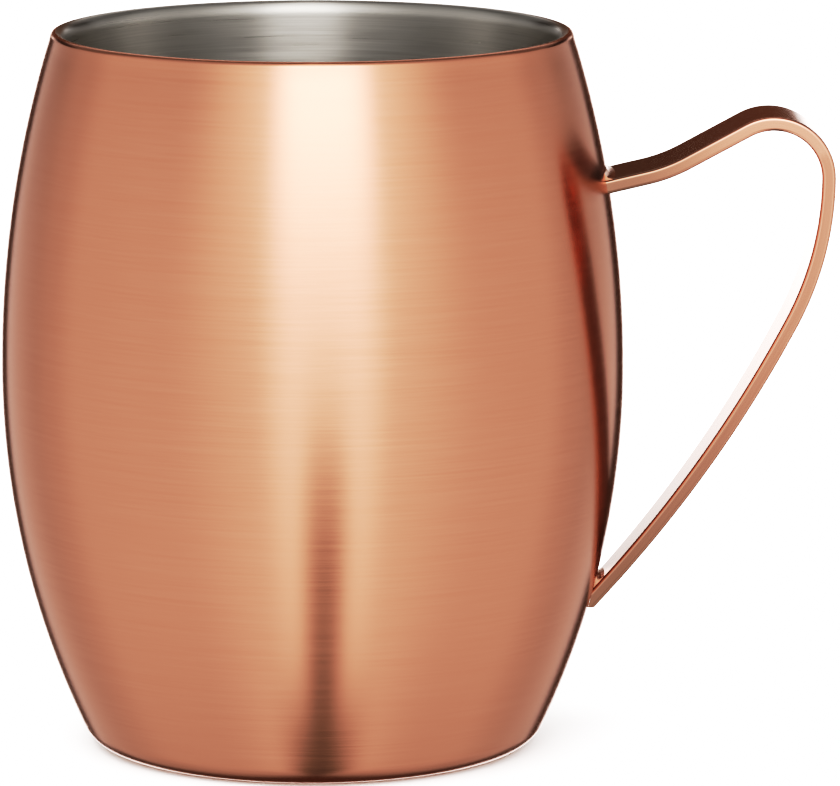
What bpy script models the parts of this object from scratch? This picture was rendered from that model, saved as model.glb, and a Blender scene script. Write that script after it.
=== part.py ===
"""A barrel-shaped drinking mug with a bent strap handle.

The mug is double walled. A copper-finished steel outer shell and a bare brushed steel inner
liner meet along the rim, a pressed plate closes the shell's bottom, and the handle is one flat
strip, bent to shape and welded to the shell at both ends.

Frame: metres, +Z up. The origin is the centre of the underside, on the mug's axis. The handle
points along +X. Every solid keeps GAP to its neighbours, where the real mug is welded.

Run it with: blender --background --python part.py
"""

import math

import bmesh
import bpy
from mathutils import Vector

# Outside of the shell: two arcs that share the widest circle, then a small corner radius.
HEIGHT = 0.104
WIDEST_RADIUS = 0.045
WIDEST_HEIGHT = 0.055
UPPER_ARC = 0.162
LOWER_ARC = 0.124
FOOT_CORNER = 0.005

# Sheet and clearances.
SHELL_SHEET = 0.0006
LINER_SHEET = 0.0006
GAP = 0.0003

# Rim: the shell rounds over its outer half and the liner its inner half.
RIM_ROUND = 0.00085
RIM_ARC = (math.radians(70.0), math.radians(20.0))
LIP_WIDTH = 0.0013
LIP_DEPTH = 0.0021

# Liner: a tapered cup inside the shell.
LINER_NECK_DROP = 0.0035
LINER_FOOT_RADIUS = 0.0330
LINER_CORNER = 0.009
LINER_FLOOR = 0.0061

# Base plate, let into the opening in the shell's underside, with one pressed stiffening groove.
BASE_RADIUS = 0.0270
BASE_SHEET = 0.0008
GROOVE_RADIUS = 0.0205
GROOVE_WIDTH = 0.0030
GROOVE_DEPTH = 0.0005
GROOVE_WAVE = ((1.0, 0.0), (0.5, 0.8), (0.0, 1.0), (-0.5, 0.8), (-1.0, 0.0))

# Handle strip: its section, which narrows from the crest to the foot along its length.
STRAP_WIDTH = 0.014
STRAP_FOOT_WIDTH = 0.007
TAPER_START = 0.0380
TAPER_END = 0.1251
STRAP_THICKNESS = 0.002
STRAP_EDGE_ROUND = 0.0004

# Its middle line: straights (length) and bends (radius, final heading in degrees) in the XZ plane.
STRAP_START = (0.0390, 0.08127)
STRAP_START_HEADING = 13.06
STRAP_RUNS = (
    ("straight", 0.00924),
    ("bend", 0.02308, 28.32),
    ("straight", 0.00974),
    ("bend", 0.00797, -90.0),
    ("bend", 0.0460, -117.33),
    ("bend", 0.1892, -131.73),
    ("straight", 0.01404),
)
STRAP_FOOT_CUT = 0.0200
FOOT_BLOCK = Vector((0.030, 0.030, 0.020))

# Weld beads, in the corner over the strip's top end and in the sharp corner over its foot.
UPPER_BEAD_LEG = 0.0011
LOWER_BEAD_RISE = 0.0017
BEAD_INSET = 0.0004

# Facets.
TURN_STEPS = 64
RIM_STEPS = 3
LIP_STEPS = 6
LIP_STEP = math.radians(12.0)
EDGE_STEPS = 2
ARC_STEP = math.radians(4.5)
CORNER_STEPS = 5
BEND_STEP = math.radians(9.0)
LONG_BEND_STEP = math.radians(3.5)
TIGHT_RADIUS = 0.010
BEAD_STATIONS = 9
CORNER_TURNS = 6
HALVINGS = 40
SHARP_ANGLE = math.radians(35.0)
MERGE_DISTANCE = 1e-7


def clear_scene():
    for obj in list(bpy.data.objects):
        bpy.data.objects.remove(obj, do_unlink=True)


def metal(name, colour, roughness):
    material = bpy.data.materials.new(name)
    material.use_nodes = True
    shader = material.node_tree.nodes["Principled BSDF"]
    shader.inputs["Base Color"].default_value = (*colour, 1.0)
    shader.inputs["Metallic"].default_value = 1.0
    shader.inputs["Roughness"].default_value = roughness
    material.diffuse_color = (*colour, 1.0)
    return material


def arc(centre, radius, start, end, steps):
    """Points (r, z) on an arc from angle start to angle end, both ends included."""
    points = []
    for i in range(steps + 1):
        angle = start + (end - start) * i / steps
        points.append((centre[0] + radius * math.cos(angle), centre[1] + radius * math.sin(angle)))
    return points


def shell_radius(z):
    """Radius of the shell's outside at a height above its corner."""
    bow = UPPER_ARC if z > WIDEST_HEIGHT else LOWER_ARC
    return WIDEST_RADIUS - bow + math.sqrt(bow**2 - (z - WIDEST_HEIGHT) ** 2)


def foot_corner_centre():
    """Centre of the corner arc that touches the lower arc and the plane z = 0."""
    reach = LOWER_ARC - FOOT_CORNER
    drop = WIDEST_HEIGHT - FOOT_CORNER
    return WIDEST_RADIUS - LOWER_ARC + math.sqrt(reach**2 - drop**2), FOOT_CORNER


def barrel(top, inset):
    """Outline (r, z) of the barrel from height top down to its flat foot, moved inwards by inset."""
    corner = foot_corner_centre()
    upper_centre = (WIDEST_RADIUS - UPPER_ARC, WIDEST_HEIGHT)
    lower_centre = (WIDEST_RADIUS - LOWER_ARC, WIDEST_HEIGHT)
    start = math.asin((top - WIDEST_HEIGHT) / (UPPER_ARC - inset))
    touch = math.atan2(corner[1] - lower_centre[1], corner[0] - lower_centre[0])
    upper_steps = math.ceil(start / ARC_STEP)
    lower_steps = math.ceil(-touch / ARC_STEP)
    outline = arc(upper_centre, UPPER_ARC - inset, start, 0.0, upper_steps)
    outline += arc(lower_centre, LOWER_ARC - inset, 0.0, touch, lower_steps)[1:]
    outline += arc(corner, FOOT_CORNER - inset, touch, -math.pi / 2, CORNER_STEPS)[1:]
    return outline


def rim_centre():
    """Centre (r, z) of the rounding at the rim's outer edge."""
    z = HEIGHT - RIM_ROUND
    return shell_radius(z) - RIM_ROUND, z


def mesh_object(name, bm, material):
    mesh = bpy.data.meshes.new(name)
    bm.to_mesh(mesh)
    bm.free()
    mesh.shade_smooth()
    mesh.set_sharp_from_angle(angle=SHARP_ANGLE)
    mesh.materials.append(material)
    obj = bpy.data.objects.new(name, mesh)
    bpy.context.scene.collection.objects.link(obj)
    return obj


def spun(outline, closed):
    """A body of revolution. A closed outline makes a ring; an open one starts and ends on the axis."""
    bm = bmesh.new()
    verts = [bm.verts.new((r, 0.0, z)) for r, z in outline]
    edges = [bm.edges.new(pair) for pair in zip(verts, verts[1:])]
    if closed:
        edges.append(bm.edges.new((verts[-1], verts[0])))
    bmesh.ops.spin(
        bm,
        geom=verts + edges,
        cent=(0.0, 0.0, 0.0),
        axis=(0.0, 0.0, 1.0),
        angle=2 * math.pi,
        steps=TURN_STEPS,
        use_merge=True,
    )
    bmesh.ops.remove_doubles(bm, verts=bm.verts, dist=MERGE_DISTANCE)
    bmesh.ops.recalc_face_normals(bm, faces=bm.faces)
    return bm


def skinned(sections):
    """A solid through a row of sections with the same number of points, flat at both ends."""
    bm = bmesh.new()
    rings = [[bm.verts.new(point) for point in section] for section in sections]
    count = len(rings[0])
    for near, far in zip(rings, rings[1:]):
        for i in range(count):
            j = (i + 1) % count
            bm.faces.new((near[i], near[j], far[j], far[i]))
    bm.faces.new(rings[0])
    bm.faces.new(rings[-1])
    bmesh.ops.recalc_face_normals(bm, faces=bm.faces)
    return bm


def outer_shell(material):
    """Deep-drawn barrel with its rim rounded outwards and its foot turned in to a flat ring."""
    centre = rim_centre()
    seam = centre[0] + GAP / 2
    foot_opening = BASE_RADIUS + GAP
    outline = [(seam, HEIGHT)]
    outline += arc(centre, RIM_ROUND, RIM_ARC[0], RIM_ARC[1], RIM_STEPS)
    outline += barrel(centre[1], 0.0)
    outline += [(foot_opening, 0.0), (foot_opening, SHELL_SHEET)]
    outline += reversed(barrel(centre[1] - RIM_ROUND, SHELL_SHEET))
    outline += [(seam, centre[1])]
    return mesh_object("outer_shell", spun(outline, True), material)


def inner_liner(material):
    """Tapered cup whose lip rounds over to meet the shell at the rim."""
    crest, _ = rim_centre()
    lip_outside = crest - GAP / 2
    lip_foot = HEIGHT - LIP_DEPTH
    lip = []
    for i in range(LIP_STEPS + 1):
        angle = math.pi / 2 - i * LIP_STEP
        lip.append((crest - LIP_WIDTH * math.sin(angle), lip_foot + LIP_DEPTH * math.cos(angle)))
    corner = (LINER_FOOT_RADIUS - LINER_CORNER, LINER_FLOOR + LINER_CORNER)
    outline = [(0.0, LINER_FLOOR)]
    outline += arc(corner, LINER_CORNER, -math.pi / 2, 0.0, CORNER_STEPS)
    outline += lip
    outline += [(lip_outside, HEIGHT - GAP / 2), (lip_outside, lip_foot)]
    outline += [(crest - LIP_WIDTH + LINER_SHEET, HEIGHT - LINER_NECK_DROP)]
    outline += arc(corner, LINER_CORNER + LINER_SHEET, 0.0, -math.pi / 2, CORNER_STEPS)
    outline += [(0.0, LINER_FLOOR - LINER_SHEET)]
    return mesh_object("inner_liner", spun(outline, False), material)


def base_plate(material):
    """Flat disc with a shallow groove pressed into its underside, which stands proud inside."""
    half = GROOVE_WIDTH / 2
    wave = [(GROOVE_RADIUS + half * t, GROOVE_DEPTH * lift) for t, lift in GROOVE_WAVE]
    chamfer = BASE_SHEET / 4
    outline = [(0.0, BASE_SHEET)]
    outline += [(r, z + BASE_SHEET) for r, z in reversed(wave)]
    outline += [(BASE_RADIUS - chamfer, BASE_SHEET), (BASE_RADIUS, BASE_SHEET - chamfer)]
    outline += [(BASE_RADIUS, chamfer), (BASE_RADIUS - chamfer, 0.0)]
    outline += wave + [(0.0, 0.0)]
    return mesh_object("base_plate", spun(outline, False), material)


def strap_line():
    """Stations (x, z, heading, length) along the strip's middle line, headings in radians."""
    x, z = STRAP_START
    heading = math.radians(STRAP_START_HEADING)
    length = 0.0
    stations = [(x, z, heading, length)]
    for run in STRAP_RUNS:
        if run[0] == "straight":
            x += run[1] * math.cos(heading)
            z += run[1] * math.sin(heading)
            length += run[1]
            stations.append((x, z, heading, length))
            continue
        _, radius, final = run
        turn = math.radians(final) - heading
        finest = BEND_STEP if radius < TIGHT_RADIUS else LONG_BEND_STEP
        steps = math.ceil(abs(turn) / finest)
        side = math.copysign(radius, turn)
        for _ in range(steps):
            x -= side * math.sin(heading)
            z += side * math.cos(heading)
            heading += turn / steps
            x += side * math.sin(heading)
            z -= side * math.cos(heading)
            length += radius * abs(turn) / steps
            stations.append((x, z, heading, length))
    return stations


def strap_width(length):
    """Width of the strip at a length along its middle line."""
    share = (length - TAPER_START) / (TAPER_END - TAPER_START)
    share = min(max(share, 0.0), 1.0)
    return STRAP_WIDTH + (STRAP_FOOT_WIDTH - STRAP_WIDTH) * share


def strap_section(width):
    """The strip's section (across, out): a flat bar with its four long edges rounded."""
    half_width = width / 2 - STRAP_EDGE_ROUND
    half_thick = STRAP_THICKNESS / 2 - STRAP_EDGE_ROUND
    section = []
    for quarter, (sy, so) in enumerate(((1, 1), (-1, 1), (-1, -1), (1, -1))):
        centre = (sy * half_width, so * half_thick)
        start = quarter * math.pi / 2
        section += arc(centre, STRAP_EDGE_ROUND, start, start + math.pi / 2, EDGE_STEPS)
    return section


def cutter(name, bm):
    mesh = bpy.data.meshes.new(name)
    bm.to_mesh(mesh)
    bm.free()
    obj = bpy.data.objects.new(name, mesh)
    bpy.context.scene.collection.objects.link(obj)
    obj.hide_render = True
    obj.display_type = "WIRE"
    return obj


def wall_cutter():
    """The space that the strip's ends stop at: the barrel's outside, grown by GAP, as one solid."""
    outline = barrel(rim_centre()[1], -GAP)
    outline = [(0.0, outline[0][1])] + outline + [(0.0, outline[-1][1])]
    return cutter("wall_cutter", spun(outline, False))


def foot_cutter():
    """A block under the strip's foot: the strip is sawn off level, just below its weld."""
    bm = bmesh.new()
    bmesh.ops.create_cube(bm, size=1.0)
    centre = Vector((WIDEST_RADIUS, 0.0, STRAP_FOOT_CUT - FOOT_BLOCK.z / 2))
    for vert in bm.verts:
        vert.co = centre + vert.co * FOOT_BLOCK
    return cutter("foot_cutter", bm)


def handle_strap(material):
    """The bent strip, coped to the round wall at both ends and cut level at its foot."""
    sections = []
    for x, z, heading, length in strap_line():
        out = Vector((-math.sin(heading), 0.0, math.cos(heading)))
        points = []
        for across, outwards in strap_section(strap_width(length)):
            points.append(Vector((x, across, z)) + outwards * out)
        sections.append(points)
    obj = mesh_object("handle_strap", skinned(sections), material)
    for tool in (wall_cutter(), foot_cutter()):
        cut = obj.modifiers.new(tool.name, "BOOLEAN")
        cut.operation = "DIFFERENCE"
        cut.solver = "EXACT"
        cut.object = tool
    return obj


def wall_x(y, z):
    """Where a weld bead may start: the shell's outside at (y, z), plus GAP."""
    return math.sqrt((shell_radius(z) + GAP) ** 2 - y**2)


def bead(name, width, section_at, material):
    """A weld bead across the strip, where it is width wide: section_at(y) gives its outline (x, z)."""
    reach = width / 2 - STRAP_EDGE_ROUND - BEAD_INSET
    sections = []
    for i in range(BEAD_STATIONS):
        y = reach * (2 * i / (BEAD_STATIONS - 1) - 1)
        sections.append([(x, y, z) for x, z in section_at(y)])
    return mesh_object(name, skinned(sections), material)


def hollow_face(start, corner, end):
    """Three points of a bead's hollow outer face, bowed from start and end towards the corner."""
    points = []
    for t in (0.25, 0.5, 0.75):
        blend = [(1 - t) ** 2 * s + 2 * t * (1 - t) * c + t**2 * e for s, c, e in zip(start, corner, end)]
        points.append(tuple(blend))
    return points


def upper_weld(material):
    """Bead in the corner between the wall and the strip's upper face."""
    heading = math.radians(STRAP_START_HEADING)
    rise = math.tan(heading)
    lift = (STRAP_THICKNESS / 2 + GAP) / math.cos(heading)

    def section_at(y):
        z = STRAP_START[1] + lift
        for _ in range(CORNER_TURNS):
            z = STRAP_START[1] + lift + rise * (wall_x(y, z) - STRAP_START[0])
        corner = (wall_x(y, z), z)
        up = (wall_x(y, z + UPPER_BEAD_LEG), z + UPPER_BEAD_LEG)
        along = (corner[0] + UPPER_BEAD_LEG, z + UPPER_BEAD_LEG * rise)
        return [corner, along] + hollow_face(along, corner, up) + [up]

    return bead("upper_weld", STRAP_WIDTH, section_at, material)


def lower_weld(material):
    """Bead in the sharp corner between the wall and the strip's inner face, above its foot."""
    x_end, z_end, heading, length = strap_line()[-1]
    inner = STRAP_THICKNESS / 2 + GAP
    x_face = x_end + inner * math.sin(heading)
    z_face = z_end - inner * math.cos(heading)

    def face_x(z):
        return x_face + (z - z_face) / math.tan(heading)

    def section_at(y):
        low, high = STRAP_FOOT_CUT, WIDEST_HEIGHT
        for _ in range(HALVINGS):
            middle = (low + high) / 2
            if face_x(middle) > wall_x(y, middle):
                high = middle
            else:
                low = middle
        top = high + LOWER_BEAD_RISE
        tip = (wall_x(y, high), high)
        at_wall = (wall_x(y, top), top)
        at_face = (face_x(top), top)
        return [tip, at_face] + hollow_face(at_face, tip, at_wall) + [at_wall]

    return bead("lower_weld", strap_width(length), section_at, material)


def build():
    clear_scene()
    copper = metal("copper_finish", (0.72, 0.33, 0.19), 0.28)
    copper_weld = metal("copper_weld", (0.58, 0.28, 0.17), 0.40)
    steel = metal("inner_steel", (0.62, 0.61, 0.59), 0.30)
    outer_shell(copper)
    base_plate(copper)
    inner_liner(steel)
    handle_strap(copper)
    upper_weld(copper_weld)
    lower_weld(copper_weld)


build()
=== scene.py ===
"""The looks of a barrel-shaped mug with a brushed copper finish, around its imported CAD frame.

Metres, +Z up. The origin is the centre of the underside and the handle points along +X.
Azimuths are degrees from -Y, where the camera stands, positive towards +X.
"""

import math

import bmesh
import bpy
from mathutils import Matrix, Vector


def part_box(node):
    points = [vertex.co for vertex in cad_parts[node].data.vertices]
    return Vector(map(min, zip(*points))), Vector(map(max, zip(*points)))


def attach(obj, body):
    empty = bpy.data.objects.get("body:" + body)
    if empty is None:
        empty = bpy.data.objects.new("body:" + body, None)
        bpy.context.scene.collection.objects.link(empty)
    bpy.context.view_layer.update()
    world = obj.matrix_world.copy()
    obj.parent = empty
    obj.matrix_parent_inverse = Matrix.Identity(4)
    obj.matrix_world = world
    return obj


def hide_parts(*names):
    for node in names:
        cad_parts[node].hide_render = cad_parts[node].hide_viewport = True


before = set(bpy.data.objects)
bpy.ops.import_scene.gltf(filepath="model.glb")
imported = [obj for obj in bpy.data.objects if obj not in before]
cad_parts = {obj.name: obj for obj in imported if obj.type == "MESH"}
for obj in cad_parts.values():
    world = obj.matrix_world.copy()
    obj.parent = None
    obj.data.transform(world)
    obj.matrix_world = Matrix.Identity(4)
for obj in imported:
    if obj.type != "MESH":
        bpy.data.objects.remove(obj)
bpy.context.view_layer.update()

BODY = "root"

# The strip's map of lengths along it and around it, in metres.
BRUSH_MAP = "brush"

# Outside of the shell, from the frame and from the two arcs that share its widest circle.
SHELL_LOW, SHELL_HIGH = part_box("outer_shell")
HEIGHT = SHELL_HIGH.z
WIDEST_RADIUS = SHELL_HIGH.x
WIDEST_HEIGHT = 0.055
UPPER_ARC = 0.162
LOWER_ARC = 0.124
FOOT_CORNER = 0.005
SHEET = 0.0006

# Rim: copper over the outer half of the lip, steel over its inner half.
RIM_ROUND = 0.00085
RIM_ROUND_END = math.radians(20.0)
LIP_WIDTH = 0.0013
LIP_DEPTH = 0.0021

# Liner.
LINER_FOOT_RADIUS = 0.0330
LINER_CORNER = 0.009
LINER_FLOOR = 0.0061

# Base plate.
BASE_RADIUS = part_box("base_plate")[1].x
BASE_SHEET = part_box("base_plate")[1].z
BASE_SEAM = 0.0003
GROOVE_RADIUS = 0.0205
GROOVE_WIDTH = 0.0030
GROOVE_DEPTH = 0.0005

# Handle strip: its section, which narrows from the crest to the foot, and its middle line as
# straights and bends in the XZ plane.
STRAP_WIDTH = 0.014
STRAP_FOOT_WIDTH = 0.007
TAPER_START = 0.0380
TAPER_END = 0.1251
STRAP_THICKNESS = 0.002
STRAP_EDGE_ROUND = 0.0004
STRAP_START = (0.0390, 0.08127)
STRAP_START_HEADING = 13.06
STRAP_RUNS = (
    ("straight", 0.00924),
    ("bend", 0.02308, 28.32),
    ("straight", 0.00974),
    ("bend", 0.00797, -90.0),
    ("bend", 0.0460, -117.33),
    ("bend", 0.1892, -131.73),
    ("straight", 0.01404),
)
STRAP_FOOT_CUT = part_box("handle_strap")[0].z

# Weld beads. Their hollow faces bow this share of the way to the corner.
BEAD_BOW = 0.275
UPPER_BEAD_LEG = 0.0011
LOWER_BEAD_RISE = 0.0017
BEAD_RIPPLE = 0.00002
BEAD_RIPPLES = 17

# Fineness of the meshes.
TURN_STEPS = 288
ARC_STEP = math.radians(0.8)
RIM_STEPS = 10
CORNER_STEPS = 14
SEAM_STEPS = 4
GROOVE_STEPS = 12
LINER_FLOOR_STEPS = 12
LINER_WALL_STEPS = 40
STRAP_STEP = 0.0006
STRAP_ACROSS = 24
STRAP_THROUGH = 10
EDGE_STEPS = 5
BEAD_STATIONS = 97
BEAD_STEPS = 8
SHARP_ANGLE = math.radians(35.0)
MERGE_DISTANCE = 1e-7

# Rounds that close in on where two surfaces cross: by halving a span, and by stepping from one
# surface to the other until they agree.
HALVINGS = 40
STEPPING_ROUNDS = 6

# Camera.
CAMERA_TURN = math.radians(-1.0)
CAMERA_PLACE = Vector((0.0155, -1.0000, 0.2256))
CAMERA_TILT = math.radians(80.10)
CAMERA_LENS = 300.3
CAMERA_SENSOR = 36.0
CAMERA_REACH = 50.0


# ---------------------------------------------------------------- shapes

def arc(centre, radius, start, end, steps):
    """Points (r, z) on an arc from angle start to angle end, both ends included."""
    points = []
    for i in range(steps + 1):
        angle = start + (end - start) * i / steps
        points.append((centre[0] + radius * math.cos(angle), centre[1] + radius * math.sin(angle)))
    return points


def shell_radius(z):
    """Radius of the shell's outside at a height above its corner."""
    bow = UPPER_ARC if z > WIDEST_HEIGHT else LOWER_ARC
    return WIDEST_RADIUS - bow + math.sqrt(bow**2 - (z - WIDEST_HEIGHT) ** 2)


def barrel(top, inset):
    """Outline (r, z) of the barrel from height top down to its flat foot, moved inwards by inset."""
    reach = LOWER_ARC - FOOT_CORNER
    drop = WIDEST_HEIGHT - FOOT_CORNER
    upper_centre = (WIDEST_RADIUS - UPPER_ARC, WIDEST_HEIGHT)
    lower_centre = (WIDEST_RADIUS - LOWER_ARC, WIDEST_HEIGHT)
    corner = (lower_centre[0] + math.sqrt(reach**2 - drop**2), FOOT_CORNER)
    start = math.asin((top - WIDEST_HEIGHT) / (UPPER_ARC - inset))
    touch = math.atan2(corner[1] - lower_centre[1], corner[0] - lower_centre[0])
    outline = arc(upper_centre, UPPER_ARC - inset, start, 0.0, math.ceil(start / ARC_STEP))
    outline += arc(lower_centre, LOWER_ARC - inset, 0.0, touch, math.ceil(-touch / ARC_STEP))[1:]
    outline += arc(corner, FOOT_CORNER - inset, touch, -math.pi / 2, CORNER_STEPS)[1:]
    return outline


def rim_centre():
    """Centre (r, z) of the rounding at the rim's outer edge."""
    z = HEIGHT - RIM_ROUND
    return shell_radius(z) - RIM_ROUND, z


def piece(name, bm, nodes, material):
    """A finished mesh that stands for CAD nodes and rides on the mug's one body."""
    bmesh.ops.recalc_face_normals(bm, faces=bm.faces)
    mesh = bpy.data.meshes.new(name)
    bm.to_mesh(mesh)
    bm.free()
    mesh.shade_smooth()
    mesh.set_sharp_from_angle(angle=SHARP_ANGLE)
    mesh.materials.append(material)
    obj = bpy.data.objects.new(name, mesh)
    bpy.context.scene.collection.objects.link(obj)
    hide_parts(*nodes)
    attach(obj, BODY)


def turned(outline, closed):
    """A body of revolution. A closed outline makes a ring; an open one starts and ends on the axis."""
    bm = bmesh.new()
    verts = [bm.verts.new((r, 0.0, z)) for r, z in outline]
    edges = [bm.edges.new(pair) for pair in zip(verts, verts[1:])]
    if closed:
        edges.append(bm.edges.new((verts[-1], verts[0])))
    bmesh.ops.spin(
        bm,
        geom=verts + edges,
        cent=(0.0, 0.0, 0.0),
        axis=(0.0, 0.0, 1.0),
        angle=2 * math.pi,
        steps=TURN_STEPS,
        use_merge=True,
    )
    bmesh.ops.remove_doubles(bm, verts=bm.verts, dist=MERGE_DISTANCE)
    return bm


def shell_mesh():
    """The copper-finished barrel: rim rounding, two arcs, foot corner and turned-in foot ring."""
    centre = rim_centre()
    opening = BASE_RADIUS + BASE_SEAM
    outline = arc(centre, RIM_ROUND, math.pi / 2, RIM_ROUND_END, RIM_STEPS)
    outline += barrel(centre[1], 0.0)
    outline += arc((opening + BASE_SEAM, BASE_SEAM), BASE_SEAM, -math.pi / 2, -math.pi, SEAM_STEPS)
    outline += [(opening, SHEET)]
    outline += reversed(barrel(centre[1] - RIM_ROUND, SHEET))
    outline += [centre]
    return turned(outline, True)


def liner_mesh():
    """The steel cup: its lip rounds over to meet the copper along the rim's crest."""
    crest, _ = rim_centre()
    neck = crest - LIP_WIDTH
    lip_foot = HEIGHT - LIP_DEPTH
    lip = []
    for i in range(RIM_STEPS + 1):
        a = math.pi / 2 * (1 - i / RIM_STEPS)
        lip.append((crest - LIP_WIDTH * math.sin(a), lip_foot + LIP_DEPTH * math.cos(a)))
    corner_centre = (LINER_FOOT_RADIUS - LINER_CORNER, LINER_FLOOR + LINER_CORNER)
    bottom = []
    for i in range(LINER_FLOOR_STEPS):
        bottom.append((corner_centre[0] * i / LINER_FLOOR_STEPS, LINER_FLOOR))
    inside = arc(corner_centre, LINER_CORNER, -math.pi / 2, 0.0, CORNER_STEPS)
    foot = inside[-1]
    wall = []
    for i in range(1, LINER_WALL_STEPS):
        t = i / LINER_WALL_STEPS
        wall.append((foot[0] + (neck - foot[0]) * t, foot[1] + (lip_foot - foot[1]) * t))
    outside = arc(corner_centre, LINER_CORNER + SHEET, 0.0, -math.pi / 2, CORNER_STEPS)
    outline = bottom + inside + wall + lip
    outline += [(crest, lip_foot), (neck + SHEET, lip_foot - SHEET)]
    outline += outside + [(0.0, LINER_FLOOR - SHEET)]
    return turned(outline, False)


def base_mesh():
    """The disc let into the foot, with a rounded edge and one shallow pressed groove."""
    half = GROOVE_WIDTH / 2
    wave = []
    for i in range(GROOVE_STEPS + 1):
        t = 1 - 2 * i / GROOVE_STEPS
        lift = (1 + math.cos(math.pi * t)) / 2
        wave.append((GROOVE_RADIUS + half * t, GROOVE_DEPTH * lift))
    outline = [(0.0, BASE_SHEET)]
    outline += [(r, z + BASE_SHEET) for r, z in reversed(wave)]
    outline += [(BASE_RADIUS, BASE_SHEET)]
    outline += arc((BASE_RADIUS - BASE_SEAM, BASE_SEAM), BASE_SEAM, 0.0, -math.pi / 2, SEAM_STEPS)
    outline += wave + [(0.0, 0.0)]
    return turned(outline, False)


def strap_stations():
    """Stations (x, z, heading, length) along the strip's middle line, headings in radians."""
    x, z = STRAP_START
    heading = math.radians(STRAP_START_HEADING)
    length = 0.0
    stations = [(x, z, heading, length)]
    for run in STRAP_RUNS:
        if run[0] == "straight":
            turn, span = 0.0, run[1]
        else:
            turn = math.radians(run[2]) - heading
            span = abs(turn) * run[1]
        steps = math.ceil(span / STRAP_STEP)
        for _ in range(steps):
            middle = heading + turn / steps / 2
            chord = span / steps
            if turn:
                chord = 2 * run[1] * math.sin(abs(turn) / steps / 2)
            x += chord * math.cos(middle)
            z += chord * math.sin(middle)
            heading += turn / steps
            length += span / steps
            stations.append((x, z, heading, length))
    return stations


def strap_width(length):
    """Width of the strip at a length along its middle line."""
    share = (length - TAPER_START) / (TAPER_END - TAPER_START)
    share = min(max(share, 0.0), 1.0)
    return STRAP_WIDTH + (STRAP_FOOT_WIDTH - STRAP_WIDTH) * share


def strap_section(width):
    """The strip's section (across, out): a flat bar, its long edges rounded, its flats divided."""
    half_width = width / 2 - STRAP_EDGE_ROUND
    half_thick = STRAP_THICKNESS / 2 - STRAP_EDGE_ROUND
    corners = ((1, 1), (-1, 1), (-1, -1), (1, -1))
    section = []
    for quarter, (sy, so) in enumerate(corners):
        start = quarter * math.pi / 2
        centre = (sy * half_width, so * half_thick)
        section += arc(centre, STRAP_EDGE_ROUND, start, start + math.pi / 2, EDGE_STEPS)
        ny, no = corners[(quarter + 1) % 4]
        first = section[-1]
        last = (
            ny * half_width + STRAP_EDGE_ROUND * math.cos(start + math.pi / 2),
            no * half_thick + STRAP_EDGE_ROUND * math.sin(start + math.pi / 2),
        )
        divisions = STRAP_THROUGH if quarter % 2 else STRAP_ACROSS
        for i in range(1, divisions):
            t = i / divisions
            section.append(tuple(a + (b - a) * t for a, b in zip(first, last)))
    return section


def inside_wall(point):
    """Whether a point lies inside the shell's outer surface."""
    return math.hypot(point.x, point.y) < shell_radius(point.z)


def crossing(outer, inner, test):
    """The place between outer and inner where test turns true."""
    for _ in range(HALVINGS):
        middle = (outer + inner) / 2
        if test(middle):
            inner = middle
        else:
            outer = middle
    return outer


def strap_lines(stations):
    """The strip's long lines. Each starts at the wall and ends at the wall or the foot cut."""
    sections = [strap_section(strap_width(station[3])) for station in stations]

    def ended(point):
        return inside_wall(point) or point.z < STRAP_FOOT_CUT

    lines = []
    for place in range(len(sections[0])):
        line = []
        for (x, z, heading, _), outline in zip(stations, sections):
            y, out = outline[place]
            line.append(Vector((x - out * math.sin(heading), y, z + out * math.cos(heading))))
        half = len(line) // 2
        start = max(i for i in range(half) if inside_wall(line[i]))
        stop = min(i for i in range(half, len(line)) if ended(line[i]))
        first = crossing(line[start + 1], line[start], inside_wall)
        last = crossing(line[stop - 1], line[stop], ended)
        for i in range(start + 1):
            line[i] = first
        for i in range(stop, len(line)):
            line[i] = last
        lines.append(line)
    return lines


def strap_mesh():
    """The bent strip, with its lengths along and around mapped for the brushing."""
    stations = strap_stations()
    lines = strap_lines(stations)
    section = strap_section(STRAP_WIDTH)
    count = len(section)
    bm = bmesh.new()
    uv_layer = bm.loops.layers.uv.new(BRUSH_MAP)
    around = [0.0]
    for i in range(count):
        j = (i + 1) % count
        around.append(around[-1] + math.dist(section[i], section[j]))
    rings = [[bm.verts.new(line[k]) for line in lines] for k in range(len(stations))]
    for k in range(len(stations) - 1):
        for i in range(count):
            j = (i + 1) % count
            face = bm.faces.new((rings[k][i], rings[k][j], rings[k + 1][j], rings[k + 1][i]))
            ends = (stations[k][3], stations[k + 1][3])
            places = (
                (ends[0], around[i]),
                (ends[0], around[i + 1]),
                (ends[1], around[i + 1]),
                (ends[1], around[i]),
            )
            for loop, place in zip(face.loops, places):
                loop[uv_layer].uv = place
    for ring in (rings[0], rings[-1]):
        bm.faces.new(ring)
    bmesh.ops.remove_doubles(bm, verts=bm.verts, dist=MERGE_DISTANCE)
    bmesh.ops.dissolve_degenerate(bm, dist=MERGE_DISTANCE, edges=bm.edges)
    end_caps = [face for face in bm.faces if len(face.verts) > 4]
    bmesh.ops.triangulate(bm, faces=end_caps)
    return bm


def wall_x(y, z):
    """Where the shell's outside stands along +X, at a place across it and a height."""
    return math.sqrt(shell_radius(z) ** 2 - y**2)


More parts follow.
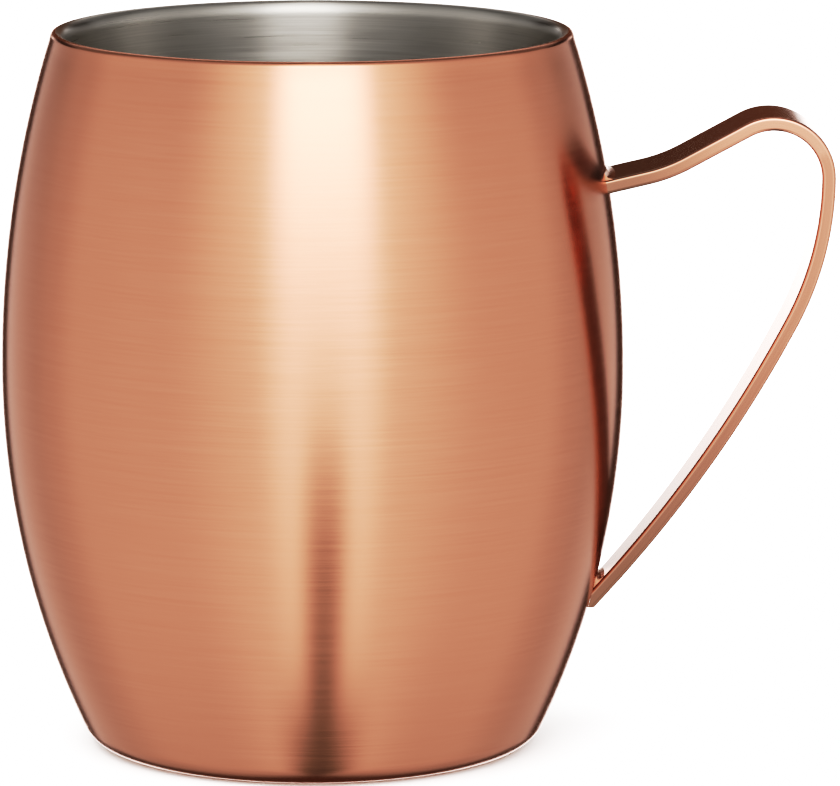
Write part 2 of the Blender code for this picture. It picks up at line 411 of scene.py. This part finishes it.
def bead_mesh(width, section_at):
    """A weld bead across the strip, where it is width wide: section_at(y) gives its outline (x, z)."""
    bm = bmesh.new()
    reach = width / 2
    rings = []
    for i in range(BEAD_STATIONS):
        y = reach * (2 * i / (BEAD_STATIONS - 1) - 1)
        rings.append([bm.verts.new((x, y, z)) for x, z in section_at(y)])
    count = len(rings[0])
    for near, far in zip(rings, rings[1:]):
        for i in range(count):
            j = (i + 1) % count
            bm.faces.new((near[i], near[j], far[j], far[i]))
    for ring in (rings[0], rings[-1]):
        bm.faces.new(ring)
    return bm


def hollow(start, corner, end, y):
    """Points of a bead's hollow face between start and end, bowed towards the corner and rippled."""
    ripple = BEAD_RIPPLE * math.sin(BEAD_RIPPLES * math.pi * y / STRAP_WIDTH)
    points = []
    for i in range(1, BEAD_STEPS):
        t = i / BEAD_STEPS
        pull = 4 * BEAD_BOW * t * (1 - t)
        x = start[0] * (1 - t) + end[0] * t
        z = start[1] * (1 - t) + end[1] * t
        lift = ripple * math.sin(math.pi * t)
        away = math.hypot(x - corner[0], z - corner[1])
        x += (corner[0] - x) * pull + lift * (x - corner[0]) / away
        z += (corner[1] - z) * pull + lift * (z - corner[1]) / away
        points.append((x, z))
    return points


def upper_bead():
    """Bead in the corner between the wall and the strip's upper face."""
    heading = math.radians(STRAP_START_HEADING)
    rise = math.tan(heading)
    lift = STRAP_THICKNESS / 2 / math.cos(heading)

    def section_at(y):
        z = STRAP_START[1] + lift
        for _ in range(STEPPING_ROUNDS):
            z = STRAP_START[1] + lift + rise * (wall_x(y, z) - STRAP_START[0])
        corner = (wall_x(y, z), z)
        up = (wall_x(y, z + UPPER_BEAD_LEG), z + UPPER_BEAD_LEG)
        along = (corner[0] + UPPER_BEAD_LEG, z + UPPER_BEAD_LEG * rise)
        return [corner, along] + hollow(along, corner, up, y) + [up]

    return bead_mesh(STRAP_WIDTH, section_at)


def lower_bead():
    """Bead in the sharp corner between the wall and the strip's inner face, above its foot."""
    x_end, z_end, heading, length = strap_stations()[-1]
    x_face = x_end + STRAP_THICKNESS / 2 * math.sin(heading)
    z_face = z_end - STRAP_THICKNESS / 2 * math.cos(heading)

    def face_x(z):
        return x_face + (z - z_face) / math.tan(heading)

    def section_at(y):
        low = crossing(STRAP_FOOT_CUT, WIDEST_HEIGHT, lambda z: face_x(z) > wall_x(y, z))
        top = low + LOWER_BEAD_RISE
        tip = (wall_x(y, low), low)
        at_wall = (wall_x(y, top), top)
        at_face = (face_x(top), top)
        return [tip, at_face] + hollow(at_face, tip, at_wall, y) + [at_wall]

    return bead_mesh(strap_width(length), section_at)


# ---------------------------------------------------------------- looks
# Colours of the metal's two tones and of its stains, with the bump's height in metres.

SHELL_LOOK = {
    "low": (0.757, 0.370, 0.256), "high": (0.803, 0.410, 0.290), "stain": (0.75, 0.365, 0.250),
    "cloud": 0.25, "rough_low": 0.21, "rough_high": 0.27, "bump": 0.28e-6, "anisotropic": 0.76,
}
STEEL_LOOK = {
    "low": (0.52, 0.495, 0.46), "high": (0.64, 0.61, 0.57), "stain": (0.46, 0.43, 0.39),
    "cloud": 0.30, "rough_low": 0.26, "rough_high": 0.38, "bump": 0.5e-6, "anisotropic": 0.80,
}
STRAP_LOOK = {
    "low": (0.742, 0.386, 0.284), "high": (0.772, 0.410, 0.306), "stain": (0.73, 0.374, 0.272),
    "cloud": 0.30, "rough_low": 0.10, "rough_high": 0.16, "bump": 0.25e-6, "anisotropic": 0.40,
    # The colour that the strip's ends darken to: painted shade over a welding heat tint.
    "tint_and_shade": (0.34, 0.20, 0.145),
}
WELD_LOOK = {
    "low": (0.58, 0.29, 0.19), "high": (0.74, 0.40, 0.29),
    "rough_low": 0.12, "rough_high": 0.24, "bump": 4.0e-6,
}

# Painted shade, over a little welding heat tint, darkens the strip towards its two ends: lengths along it.
STRAP_TINT_AND_SHADE_START = 0.005
STRAP_TINT_AND_SHADE_START_FADE = 0.024
STRAP_TINT_AND_SHADE_END = 0.114
STRAP_TINT_AND_SHADE_END_FADE = 0.070
STRAP_TINT_AND_SHADE_DEPTH = 0.90

# Noise waves per metre. Brushing varies slowly along its strokes and fast across them: round the mug
# these are the paces of x, y and the way up or out, and on the strip those along and around it.
ROUND_FINE = (65.0, 65.0, 3800.0)
ROUND_BROAD = (30.0, 30.0, 1500.0)
ROUND_FINE_SHARE = 0.70
ROUND_CLOUD = 38.0
STRIP_STROKES = (90.0, 3600.0, 0.0)
STRIP_CLOUD = 90.0
WELD_GRAIN = 1600.0

# Noise keeps near its middle, so these two values of it stand for none and all.
NOISE_LOW = 0.30
NOISE_HIGH = 0.70
NOISE_ROUGHNESS = 0.55

# The anisotropic turn that stretches highlights across the strokes.
ACROSS_STROKES = 0.25

WHITE = (1.0, 1.0, 1.0, 1.0)


# ---------------------------------------------------------------- materials

def rgba(colour):
    """A colour with full opacity."""
    return (*colour, 1.0)


class Nodes:
    """Short calls that add and link shader nodes in one tree."""

    def __init__(self, tree):
        self.tree = tree

    def add(self, kind, **settings):
        node = self.tree.nodes.new(kind)
        for key, value in settings.items():
            setattr(node, key, value)
        return node

    def feed(self, socket, value):
        """Link the socket to value, or set it to value where that is a constant."""
        if isinstance(value, bpy.types.NodeSocket):
            self.tree.links.new(value, socket)
        else:
            socket.default_value = value

    def math(self, operation, *values):
        node = self.add("ShaderNodeMath", operation=operation)
        for socket, value in zip(node.inputs, values):
            self.feed(socket, value)
        return node.outputs[0]

    def product(self, *values):
        total = values[0]
        for value in values[1:]:
            total = self.math("MULTIPLY", total, value)
        return total

    def largest(self, *values):
        top = values[0]
        for value in values[1:]:
            top = self.math("MAXIMUM", top, value)
        return top

    def object_place(self):
        return self.add("ShaderNodeTexCoord").outputs["Object"]

    def split(self, vector):
        node = self.add("ShaderNodeSeparateXYZ")
        self.feed(node.inputs[0], vector)
        return node.outputs

    def scaled(self, values, paces):
        """A vector of three values, each times its pace."""
        node = self.add("ShaderNodeCombineXYZ")
        for socket, value, pace in zip(node.inputs, values, paces):
            self.feed(socket, self.math("MULTIPLY", value, pace))
        return node.outputs[0]

    def noise(self, vector, scale=1.0, detail=3.0):
        node = self.add("ShaderNodeTexNoise")
        self.feed(node.inputs["Vector"], vector)
        node.inputs["Scale"].default_value = scale
        node.inputs["Detail"].default_value = detail
        node.inputs["Roughness"].default_value = NOISE_ROUGHNESS
        return node.outputs["Fac"]

    def remap(self, value, low, high, to_low, to_high, smooth=False):
        node = self.add("ShaderNodeMapRange")
        node.interpolation_type = "SMOOTHSTEP" if smooth else "LINEAR"
        self.feed(node.inputs["Value"], value)
        for key, number in (("From Min", low), ("From Max", high), ("To Min", to_low), ("To Max", to_high)):
            self.feed(node.inputs[key], number)
        return node.outputs["Result"]

    def spread(self, noise, low, high):
        """Noise stretched over the range from low to high."""
        return self.remap(noise, NOISE_LOW, NOISE_HIGH, low, high)

    def above(self, value, edge, softness):
        """0 below edge, rising smoothly to 1 over softness."""
        return self.remap(value, edge, edge + softness, 0.0, 1.0, smooth=True)

    def below(self, value, edge, softness):
        """0 above edge, rising smoothly to 1 over softness as value falls."""
        return self.remap(value, edge - softness, edge, 1.0, 0.0, smooth=True)

    def window(self, value, centre, half_width, softness):
        """1 within half_width of centre, falling smoothly to 0 over softness."""
        distance = self.math("ABSOLUTE", self.math("SUBTRACT", value, centre))
        return self.remap(distance, half_width, half_width + softness, 1.0, 0.0, smooth=True)

    def mix(self, factor, first, second, blend="MIX"):
        """A mix of two colours. The node's colour sockets are its inputs 6 and 7 and its output 2."""
        node = self.add("ShaderNodeMix", data_type="RGBA", blend_type=blend)
        self.feed(node.inputs["Factor"], factor)
        self.feed(node.inputs[6], first)
        self.feed(node.inputs[7], second)
        return node.outputs[2]

    def profile(self, value, stops):
        """A smooth level from stops (place, level), in order of place. Levels may pass 1."""
        low = stops[0][0]
        high = stops[-1][0]
        top = max(level for _, level in stops)
        ramp = self.add("ShaderNodeValToRGB")
        ramp.color_ramp.interpolation = "EASE"
        elements = ramp.color_ramp.elements
        while len(elements) > 1:
            elements.remove(elements[-1])
        for i, (place, level) in enumerate(stops):
            position = (place - low) / (high - low)
            stop = elements[0] if i == 0 else elements.new(position)
            stop.position = position
            stop.color = rgba((level / top,) * 3)
        self.feed(ramp.inputs[0], self.remap(value, low, high, 0.0, 1.0))
        return self.math("MULTIPLY", ramp.outputs["Color"], top)


def new_material(name):
    material = bpy.data.materials.new(name)
    material.use_nodes = True
    return material, Nodes(material.node_tree)


def new_metal(name):
    material, nodes = new_material(name)
    shader = material.node_tree.nodes["Principled BSDF"]
    shader.inputs["Metallic"].default_value = 1.0
    return material, nodes, shader


def two_tone(nodes, grain, look):
    """The metal's two tones, mixed by its grain."""
    return nodes.mix(nodes.spread(grain, 0.0, 1.0), rgba(look["low"]), rgba(look["high"]))


def stained(nodes, colour, cloud, look):
    """The colour with soft stains over it."""
    return nodes.mix(nodes.spread(cloud, 0.0, look["cloud"]), colour, rgba(look["stain"]))


def finish(nodes, shader, grain, colour, look):
    """The colour, and the roughness and bump that follow the grain."""
    nodes.feed(shader.inputs["Base Color"], colour)
    nodes.feed(shader.inputs["Roughness"], nodes.spread(grain, look["rough_low"], look["rough_high"]))
    bump = nodes.add("ShaderNodeBump")
    bump.inputs["Strength"].default_value = 1.0
    bump.inputs["Distance"].default_value = look["bump"]
    nodes.feed(bump.inputs["Height"], grain)
    nodes.feed(shader.inputs["Normal"], bump.outputs["Normal"])


def stretch_highlights(nodes, shader, look, **tangent_settings):
    """Highlights stretched across brush strokes that follow a tangent."""
    tangent = nodes.add("ShaderNodeTangent", **tangent_settings)
    nodes.feed(shader.inputs["Tangent"], tangent.outputs[0])
    shader.inputs["Anisotropic"].default_value = look["anisotropic"]
    shader.inputs["Anisotropic Rotation"].default_value = ACROSS_STROKES


def brushed_round(name, look):
    """Metal brushed round the mug's axis."""
    material, nodes, shader = new_metal(name)
    place = nodes.object_place()
    x, y, z = nodes.split(place)
    radius = nodes.math("SQRT", nodes.math("ADD", nodes.product(x, x), nodes.product(y, y)))
    across = nodes.math("ADD", z, radius)
    fine = nodes.noise(nodes.scaled((x, y, across), ROUND_FINE), detail=2.0)
    broad = nodes.noise(nodes.scaled((x, y, across), ROUND_BROAD))
    streak = nodes.math(
        "ADD",
        nodes.product(fine, ROUND_FINE_SHARE),
        nodes.product(broad, 1.0 - ROUND_FINE_SHARE),
    )
    colour = stained(nodes, two_tone(nodes, streak, look), nodes.noise(place, ROUND_CLOUD), look)
    finish(nodes, shader, streak, colour, look)
    stretch_highlights(nodes, shader, look, direction_type="RADIAL", axis="Z")
    return material


def brushed_strip(name, look):
    """Metal brushed along the handle strip, darkened towards its two ends by painted shade over a welding
    heat tint.
    """
    material, nodes, shader = new_metal(name)
    lengths = nodes.split(nodes.add("ShaderNodeUVMap", uv_map=BRUSH_MAP).outputs[0])
    along = lengths[0]
    streak = nodes.noise(nodes.scaled(lengths, STRIP_STROKES))
    cloud = nodes.noise(nodes.object_place(), STRIP_CLOUD)
    colour = stained(nodes, two_tone(nodes, streak, look), cloud, look)
    # Painted shade, over a welding heat tint, darkens the colour towards both ends of the strip.
    start_tint_and_shade = nodes.below(along, STRAP_TINT_AND_SHADE_START + STRAP_TINT_AND_SHADE_START_FADE, STRAP_TINT_AND_SHADE_START_FADE)
    end_tint_and_shade = nodes.above(along, STRAP_TINT_AND_SHADE_END - STRAP_TINT_AND_SHADE_END_FADE, STRAP_TINT_AND_SHADE_END_FADE)
    tint_and_shade = nodes.product(nodes.largest(start_tint_and_shade, end_tint_and_shade), STRAP_TINT_AND_SHADE_DEPTH)
    finish(nodes, shader, streak, nodes.mix(tint_and_shade, colour, rgba(look["tint_and_shade"])), look)
    stretch_highlights(nodes, shader, look, direction_type="UV_MAP", uv_map=BRUSH_MAP)
    return material


def weld_metal(name, look):
    """The weld's finish: the copper over a slightly uneven, duller bead."""
    material, nodes, shader = new_metal(name)
    grain = nodes.noise(nodes.object_place(), WELD_GRAIN)
    finish(nodes, shader, grain, two_tone(nodes, grain, look), look)
    return material


# ---------------------------------------------------------------- studio
# Levels are radiances; the tone curve below takes 1.0 to white. Angles are degrees, and the studio
# that the metal mirrors is painted on a dome by azimuth and elevation.

FLOOR_SIZE = 12.0
FLOOR_TONE = 0.90
FLOOR_TONE_SWING = 0.01
FLOOR_GRAIN = 300.0
FLOOR_ROUGHNESS = 0.9
FLOOR_SPECULAR = 0.1
WORLD_LEVEL = 1.5
DOME_RADIUS = 5.0
DOME_SEGMENTS = 64
DOME_RINGS = 32

# The diffuse light from above.
TOP_LIGHT_PLACE = (-0.3, -0.6, 2.4)
TOP_LIGHT_SIZE = 2.5
TOP_LIGHT_POWER = 60.0

# Surroundings: (azimuth to either side, level), and their share at each (elevation, share).
SURROUNDINGS = (
    (0, 0.38),
    (60, 0.395),
    (95, 0.375),
    (112, 0.30),
    (124, 0.27),
    (136, 0.30),
    (146, 0.33),
    (154, 0.38),
    (169, 1.60),
    (180, 1.70),
)
SURROUNDINGS_FALL = ((-90, 0.55), (-60, 0.80), (-30, 1.00), (10, 1.00), (30, 0.80), (60, 0.55), (90, 0.50))

# The key softbox over the camera, its glow down to the table, and a wide faint skirt around both:
# (elevation, level).
KEY_AZIMUTH = 5.4
KEY_HALF_WIDTH = 11.0
KEY_SOFTNESS = 15.0
KEY_GLOW = (
    (-90, 0.04), (-60, 0.10), (-30, 0.17), (-10, 0.26), (2, 0.26), (10, 0.54), (20, 0.97), (28, 1.60),
    (42, 0.50), (90, 0.10),
)
SKIRT_HALF_WIDTH = 16.0
SKIRT_SOFTNESS = 48.0
SKIRT_GLOW = ((-90, 0.10), (-40, 0.12), (-10, 0.12), (10, 0.24), (28, 0.48), (45, 0.30), (90, 0.10))

# The dark upright under the key, and its wider foot.
FRONT_FLAG_AZIMUTH = 5.5
FRONT_FLAG_HALF_WIDTH = 2.5
FRONT_FLAG_SOFTNESS = 10.0
FRONT_FLAG_TOP = 4.0
FRONT_FLAG_FADE = 32.0
FRONT_FLAG_DEPTH = 0.76
LOW_FLAG_AZIMUTH = 6.5
LOW_FLAG_HALF_WIDTH = 11.0
LOW_FLAG_SOFTNESS = 24.0
LOW_FLAG_TOP = -47.0
LOW_FLAG_FADE = 9.0
LOW_FLAG_DEPTH = 0.90
FRONT_FLAG_COLOUR = (0.015, 0.030, 0.020)

# Two dark flags behind, which draw the body's outlines: their azimuths from start to end.
SIDE_FLAGS = ((-167.0, -155.0), (153.5, 168.0))
SIDE_FLAG_SOFTNESS = 2.0
SIDE_FLAG_TOP = 4.0
SIDE_FLAG_FOOT = -40.0
SIDE_FLAG_FADE = 8.0

# Dark zones to either side and behind. Each deepens over "fade" past the azimuth "start". It is at its
# full "depth" between the elevations "foot" and "top", which "rise" and "fall" soften outwards.
REAR_ZONE = {"start": 158, "fade": 8, "foot": 3.5, "rise": 3, "top": 80, "fall": 3, "depth": 1.0}
HIGH_ZONE = {"start": 98, "fade": 24, "foot": 22, "rise": 6, "top": 80, "fall": 6, "depth": 0.56}
RIM_ZONE = {"start": 122, "fade": 14, "foot": 12, "rise": 4, "top": 20, "fall": 8, "depth": 1.0}
LOW_ZONE = {"start": 140, "fade": 12, "foot": -90, "rise": 1, "top": -35, "fall": 10, "depth": 1.0}
SHOULDER_ZONE = {"start": 118, "fade": 24, "foot": 5, "rise": 12, "top": 90, "fall": 1, "depth": 0.28}
# A lighter band across the rear zone.
GAP_ELEVATION = 36.0
GAP_HALF_HEIGHT = 8.0
GAP_SOFTNESS = 8.0
GAP_LIFT = 0.36
FLAG_COLOUR = (0.048, 0.026, 0.0165)

# A camera's tone curve, (scene, picture): deeper shadows and a soft shoulder before white. It goes on
# the mapping's combined curve, which comes after those of red, green and blue.
TONE_CURVE = (
    (0.0, 0.0), (0.023, 0.013), (0.046, 0.036), (0.091, 0.108), (0.136, 0.212), (0.195, 0.380),
    (0.273, 0.560), (0.391, 0.716), (0.545, 0.840), (0.782, 0.955), (1.0, 1.0),
)
COMBINED_CURVE = 3


def studio_level(nodes, azimuth, side, elevation):
    """Level of the surroundings, the key softbox and its skirt together."""
    around = nodes.product(nodes.profile(side, SURROUNDINGS), nodes.profile(elevation, SURROUNDINGS_FALL))
    skirt = nodes.product(
        nodes.window(azimuth, KEY_AZIMUTH, SKIRT_HALF_WIDTH, SKIRT_SOFTNESS),
        nodes.profile(elevation, SKIRT_GLOW),
    )
    key = nodes.product(
        nodes.window(azimuth, KEY_AZIMUTH, KEY_HALF_WIDTH, KEY_SOFTNESS),
        nodes.profile(elevation, KEY_GLOW),
    )
    return nodes.math("ADD", nodes.math("ADD", around, skirt), key)


def front_dark(nodes, azimuth, elevation):
    """How dark the upright under the key and its foot are, from 0 to 1."""
    upright = nodes.product(
        nodes.window(azimuth, FRONT_FLAG_AZIMUTH, FRONT_FLAG_HALF_WIDTH, FRONT_FLAG_SOFTNESS),
        nodes.below(elevation, FRONT_FLAG_TOP, FRONT_FLAG_FADE),
        FRONT_FLAG_DEPTH,
    )
    foot = nodes.product(
        nodes.window(azimuth, LOW_FLAG_AZIMUTH, LOW_FLAG_HALF_WIDTH, LOW_FLAG_SOFTNESS),
        nodes.below(elevation, LOW_FLAG_TOP, LOW_FLAG_FADE),
        LOW_FLAG_DEPTH,
    )
    return nodes.largest(upright, foot)


def dark_zone(nodes, side, elevation, zone):
    """How dark a zone is, from 0 to 1."""
    return nodes.product(
        nodes.above(side, zone["start"], zone["fade"]),
        nodes.above(elevation, zone["foot"] - zone["rise"], zone["rise"]),
        nodes.below(elevation, zone["top"] + zone["fall"], zone["fall"]),
        zone["depth"],
    )


def side_flag(nodes, azimuth, elevation, start, end):
    """How dark a side flag is, from 0 to 1."""
    return nodes.product(
        nodes.window(azimuth, (start + end) / 2, (end - start) / 2, SIDE_FLAG_SOFTNESS),
        nodes.below(elevation, SIDE_FLAG_TOP, SIDE_FLAG_SOFTNESS),
        nodes.above(elevation, SIDE_FLAG_FOOT, SIDE_FLAG_FADE),
    )


def rear_dark(nodes, azimuth, side, elevation):
    """How dark the flags and zones to either side and behind are, from 0 to 1."""
    gap = nodes.window(elevation, GAP_ELEVATION, GAP_HALF_HEIGHT, GAP_SOFTNESS)
    kept = nodes.math("SUBTRACT", 1.0, nodes.product(gap, GAP_LIFT))
    darks = [nodes.product(dark_zone(nodes, side, elevation, REAR_ZONE), kept)]
    for zone in (HIGH_ZONE, RIM_ZONE, LOW_ZONE, SHOULDER_ZONE):
        darks.append(dark_zone(nodes, side, elevation, zone))
    for start, end in SIDE_FLAGS:
        darks.append(side_flag(nodes, azimuth, elevation, start, end))
    return nodes.largest(*darks)


def surroundings_material():
    """The studio's light by the direction from the mug: its level, dimmed by what is dark."""
    material, nodes = new_material("studio_surroundings")
    nodes.tree.nodes.clear()
    direction = nodes.add("ShaderNodeVectorMath", operation="NORMALIZE")
    nodes.feed(direction.inputs[0], nodes.object_place())
    x, y, z = nodes.split(direction.outputs[0])
    degrees = math.degrees(1.0)
    azimuth = nodes.product(nodes.math("ARCTAN2", x, nodes.product(y, -1.0)), degrees)
    elevation = nodes.product(nodes.math("ARCSINE", z), degrees)
    side = nodes.math("ABSOLUTE", azimuth)

    level = studio_level(nodes, azimuth, side, elevation)
    rear_light = nodes.mix(rear_dark(nodes, azimuth, side, elevation), WHITE, rgba(FLAG_COLOUR))
    front_light = nodes.mix(front_dark(nodes, azimuth, elevation), WHITE, rgba(FRONT_FLAG_COLOUR))
    light = nodes.mix(1.0, rear_light, front_light, "MULTIPLY")
    emission = nodes.add("ShaderNodeEmission")
    nodes.feed(emission.inputs["Color"], nodes.mix(1.0, level, light, "MULTIPLY"))
    output = nodes.add("ShaderNodeOutputMaterial")
    nodes.feed(output.inputs["Surface"], emission.outputs[0])
    return material


def staged(name, bm, material):
    """A mesh that belongs to the studio and not to the mug."""
    mesh = bpy.data.meshes.new(name)
    bm.to_mesh(mesh)
    bm.free()
    mesh.materials.append(material)
    obj = bpy.data.objects.new(name, mesh)
    bpy.context.scene.collection.objects.link(obj)
    return obj


def reflection_dome():
    """The studio as the metal mirrors it. Only reflections see it, so it hides nothing from a camera."""
    bm = bmesh.new()
    bmesh.ops.create_uvsphere(bm, u_segments=DOME_SEGMENTS, v_segments=DOME_RINGS, radius=DOME_RADIUS)
    dome = staged("reflection_dome", bm, surroundings_material())
    dome.rotation_euler.z = CAMERA_TURN
    dome.visible_camera = False
    dome.visible_diffuse = False
    dome.visible_transmission = False
    dome.visible_volume_scatter = False
    dome.visible_shadow = False


def pale_floor():
    """The matt table top that the mug stands on. The dome stands in for it in reflections."""
    material, nodes = new_material("pale_floor")
    shader = material.node_tree.nodes["Principled BSDF"]
    grain = nodes.noise(nodes.object_place(), FLOOR_GRAIN, detail=2.0)
    tone = nodes.remap(grain, 0.0, 1.0, FLOOR_TONE - FLOOR_TONE_SWING, FLOOR_TONE + FLOOR_TONE_SWING)
    nodes.feed(shader.inputs["Base Color"], tone)
    shader.inputs["Roughness"].default_value = FLOOR_ROUGHNESS
    shader.inputs["Specular IOR Level"].default_value = FLOOR_SPECULAR
    bm = bmesh.new()
    bmesh.ops.create_grid(bm, x_segments=1, y_segments=1, size=FLOOR_SIZE / 2)
    ground = staged("floor", bm, material)
    ground.location.z = SHELL_LOW.z
    ground.visible_glossy = False


def even_world():
    """White light from everywhere."""
    world = bpy.data.worlds.new("studio")
    bpy.context.scene.world = world
    world.use_nodes = True
    background = world.node_tree.nodes["Background"]
    background.inputs["Color"].default_value = WHITE
    background.inputs["Strength"].default_value = WORLD_LEVEL


def top_light():
    """A square light over the mug, which its metal doesn't mirror."""
    data = bpy.data.lights.new("top_light", "AREA")
    data.shape = "SQUARE"
    data.size = TOP_LIGHT_SIZE
    data.energy = TOP_LIGHT_POWER
    lamp = bpy.data.objects.new("top_light", data)
    lamp.location = TOP_LIGHT_PLACE
    lamp.rotation_euler = (-Vector(TOP_LIGHT_PLACE)).to_track_quat("-Z", "Y").to_euler()
    bpy.context.scene.collection.objects.link(lamp)
    lamp.visible_glossy = False


def camera():
    """A long lens in front of the mug, a little above it."""
    data = bpy.data.cameras.new("camera")
    data.lens = CAMERA_LENS
    data.sensor_width = CAMERA_SENSOR
    data.clip_end = CAMERA_REACH
    obj = bpy.data.objects.new("camera", data)
    obj.location = Matrix.Rotation(CAMERA_TURN, 3, "Z") @ CAMERA_PLACE
    obj.rotation_euler = (CAMERA_TILT, 0.0, CAMERA_TURN)
    bpy.context.scene.collection.objects.link(obj)
    bpy.context.scene.camera = obj


def photographic_curve():
    """The camera's tone curve, whose end points are there already."""
    view = bpy.context.scene.view_settings
    view.view_transform = "Standard"
    view.use_curve_mapping = True
    mapping = view.curve_mapping
    mapping.extend = "HORIZONTAL"
    curve = mapping.curves[COMBINED_CURVE]
    for x, y in TONE_CURVE[1:-1]:
        curve.points.new(x, y)
    mapping.update()


# ---------------------------------------------------------------- build

copper = brushed_round("brushed_copper", SHELL_LOOK)
strap_copper = brushed_strip("strap_copper", STRAP_LOOK)
weld_copper = weld_metal("weld_copper", WELD_LOOK)
steel = brushed_round("brushed_steel", STEEL_LOOK)

piece("mug_shell", shell_mesh(), ["outer_shell"], copper)
piece("mug_base", base_mesh(), ["base_plate"], copper)
piece("mug_liner", liner_mesh(), ["inner_liner"], steel)
piece("mug_handle", strap_mesh(), ["handle_strap"], strap_copper)
piece("upper_weld_bead", upper_bead(), ["upper_weld"], weld_copper)
piece("lower_weld_bead", lower_bead(), ["lower_weld"], weld_copper)

camera()
pale_floor()
even_world()
reflection_dome()
top_light()
photographic_curve()
